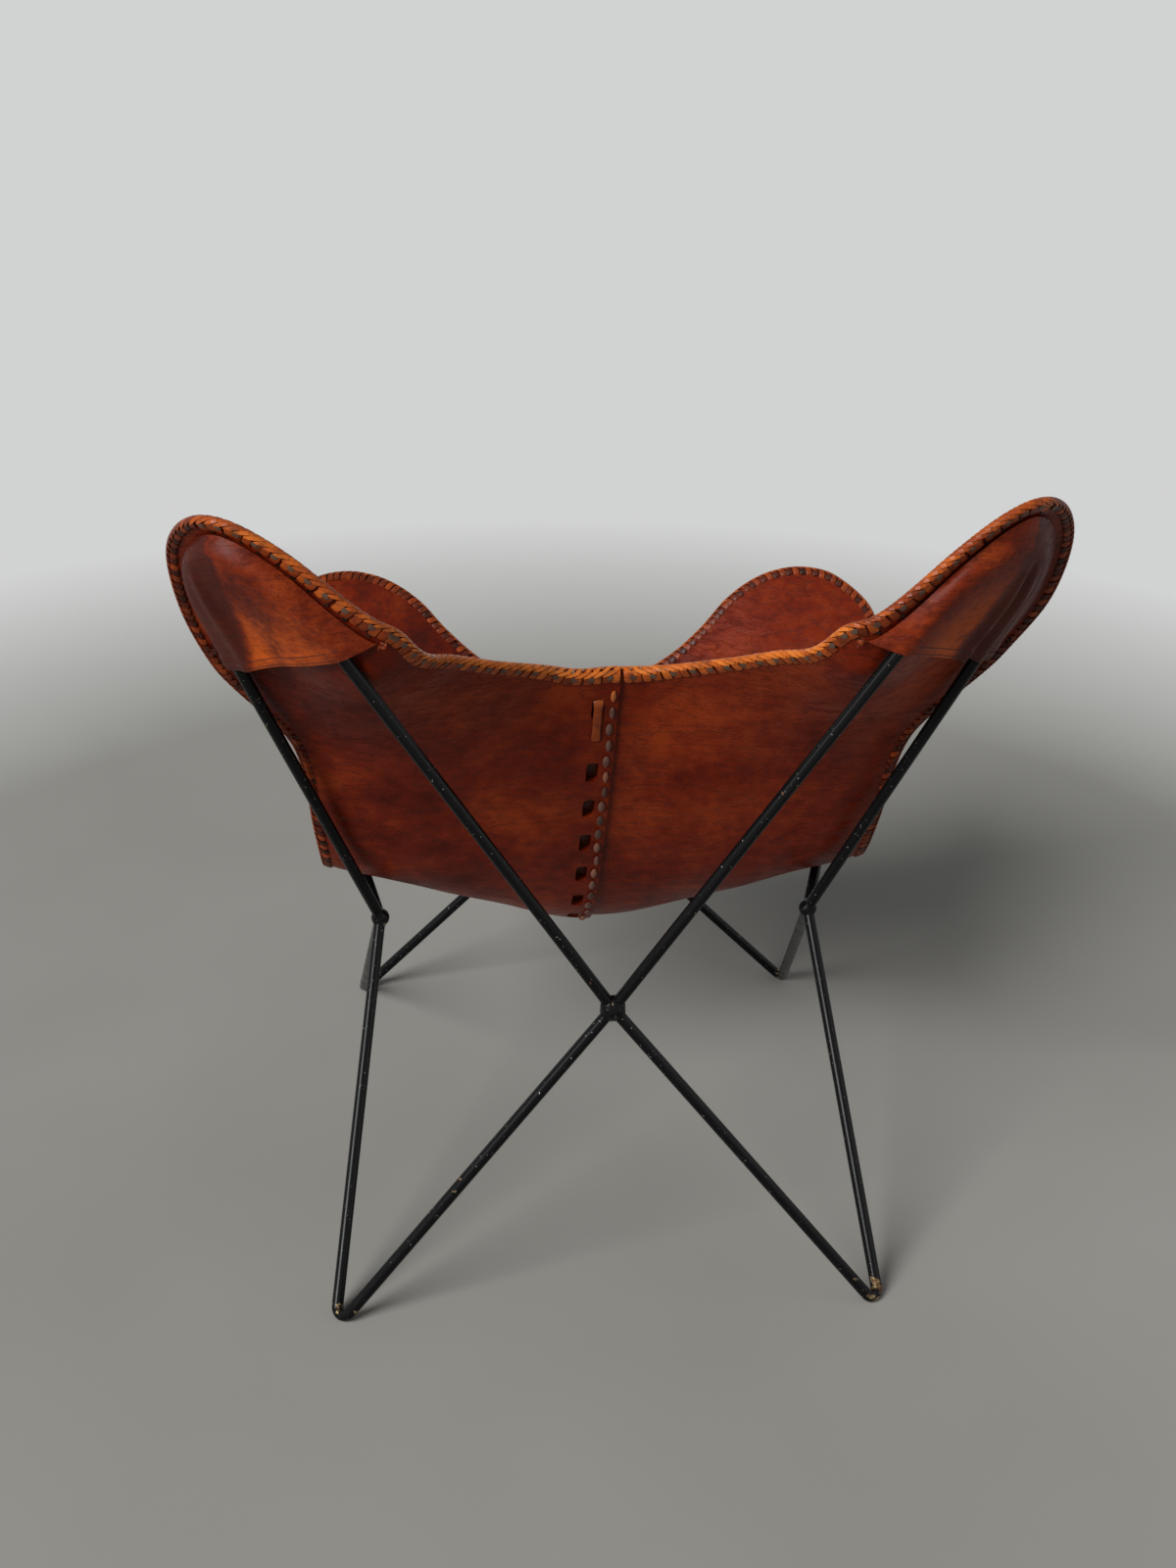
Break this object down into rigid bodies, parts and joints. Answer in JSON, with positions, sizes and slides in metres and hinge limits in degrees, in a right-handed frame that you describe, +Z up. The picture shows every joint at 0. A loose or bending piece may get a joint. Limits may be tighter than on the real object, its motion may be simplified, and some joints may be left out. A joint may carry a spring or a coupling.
{
  "type": "butterfly sling chair",
  "caption": "Butterfly chair: a bent and welded round-rod frame with a laced leather sling in overlapping halves, hung from four ears by corner pockets.",
  "frame": {"origin": "middle of the chair's footprint box, on the floor", "axes": "+Z up from the floor; the sitter faces -Y, so the tall back ears are towards +Y; +X is on the left of someone who stands behind the chair"},
  "size_m": [0.8128, 0.7258, 0.8595],
  "materials": {
    "painted_steel": "gloss black paint, chipped and worn at the feet",
    "saddle_leather": "waxed reddish-brown hide, mottled and creased",
    "pocket_leather": "dark glossy brown hide with a double-stitched hem",
    "lacing_leather": "tan flat thong, whip-laced",
    "thong_leather": "tan flat thong",
    "stitch_cord": "waxed grey-brown cord"
  },
  "bodies": {
    "root": {"back_leg_bend_left": "painted_steel", "front_leg_bend_left": "painted_steel", "back_ear_rod_left": "painted_steel", "front_ear_rod_left": "painted_steel", "side_weld_knuckle_left": "painted_steel", "back_leg_bend_right": "painted_steel", "front_leg_bend_right": "painted_steel", "back_ear_rod_right": "painted_steel", "front_ear_rod_right": "painted_steel", "side_weld_knuckle_right": "painted_steel", "back_weld_knuckle": "painted_steel", "front_weld_knuckle": "painted_steel", "sling_panel_left": "saddle_leather", "sling_panel_right": "saddle_leather", "back_pocket_left": "pocket_leather", "front_pocket_left": "pocket_leather", "back_pocket_right": "pocket_leather", "front_pocket_right": "pocket_leather", "edge_lacing_back": "lacing_leather", "edge_lacing_front": "lacing_leather", "edge_lacing_back_ear_left": "lacing_leather", "edge_lacing_side_left": "lacing_leather", "edge_lacing_front_ear_left": "lacing_leather", "edge_lacing_back_ear_right": "lacing_leather", "edge_lacing_side_right": "lacing_leather", "edge_lacing_front_ear_right": "lacing_leather", "spine_strap": "thong_leather", "spine_stitching": "stitch_cord"}
  },
  "joints": []
}
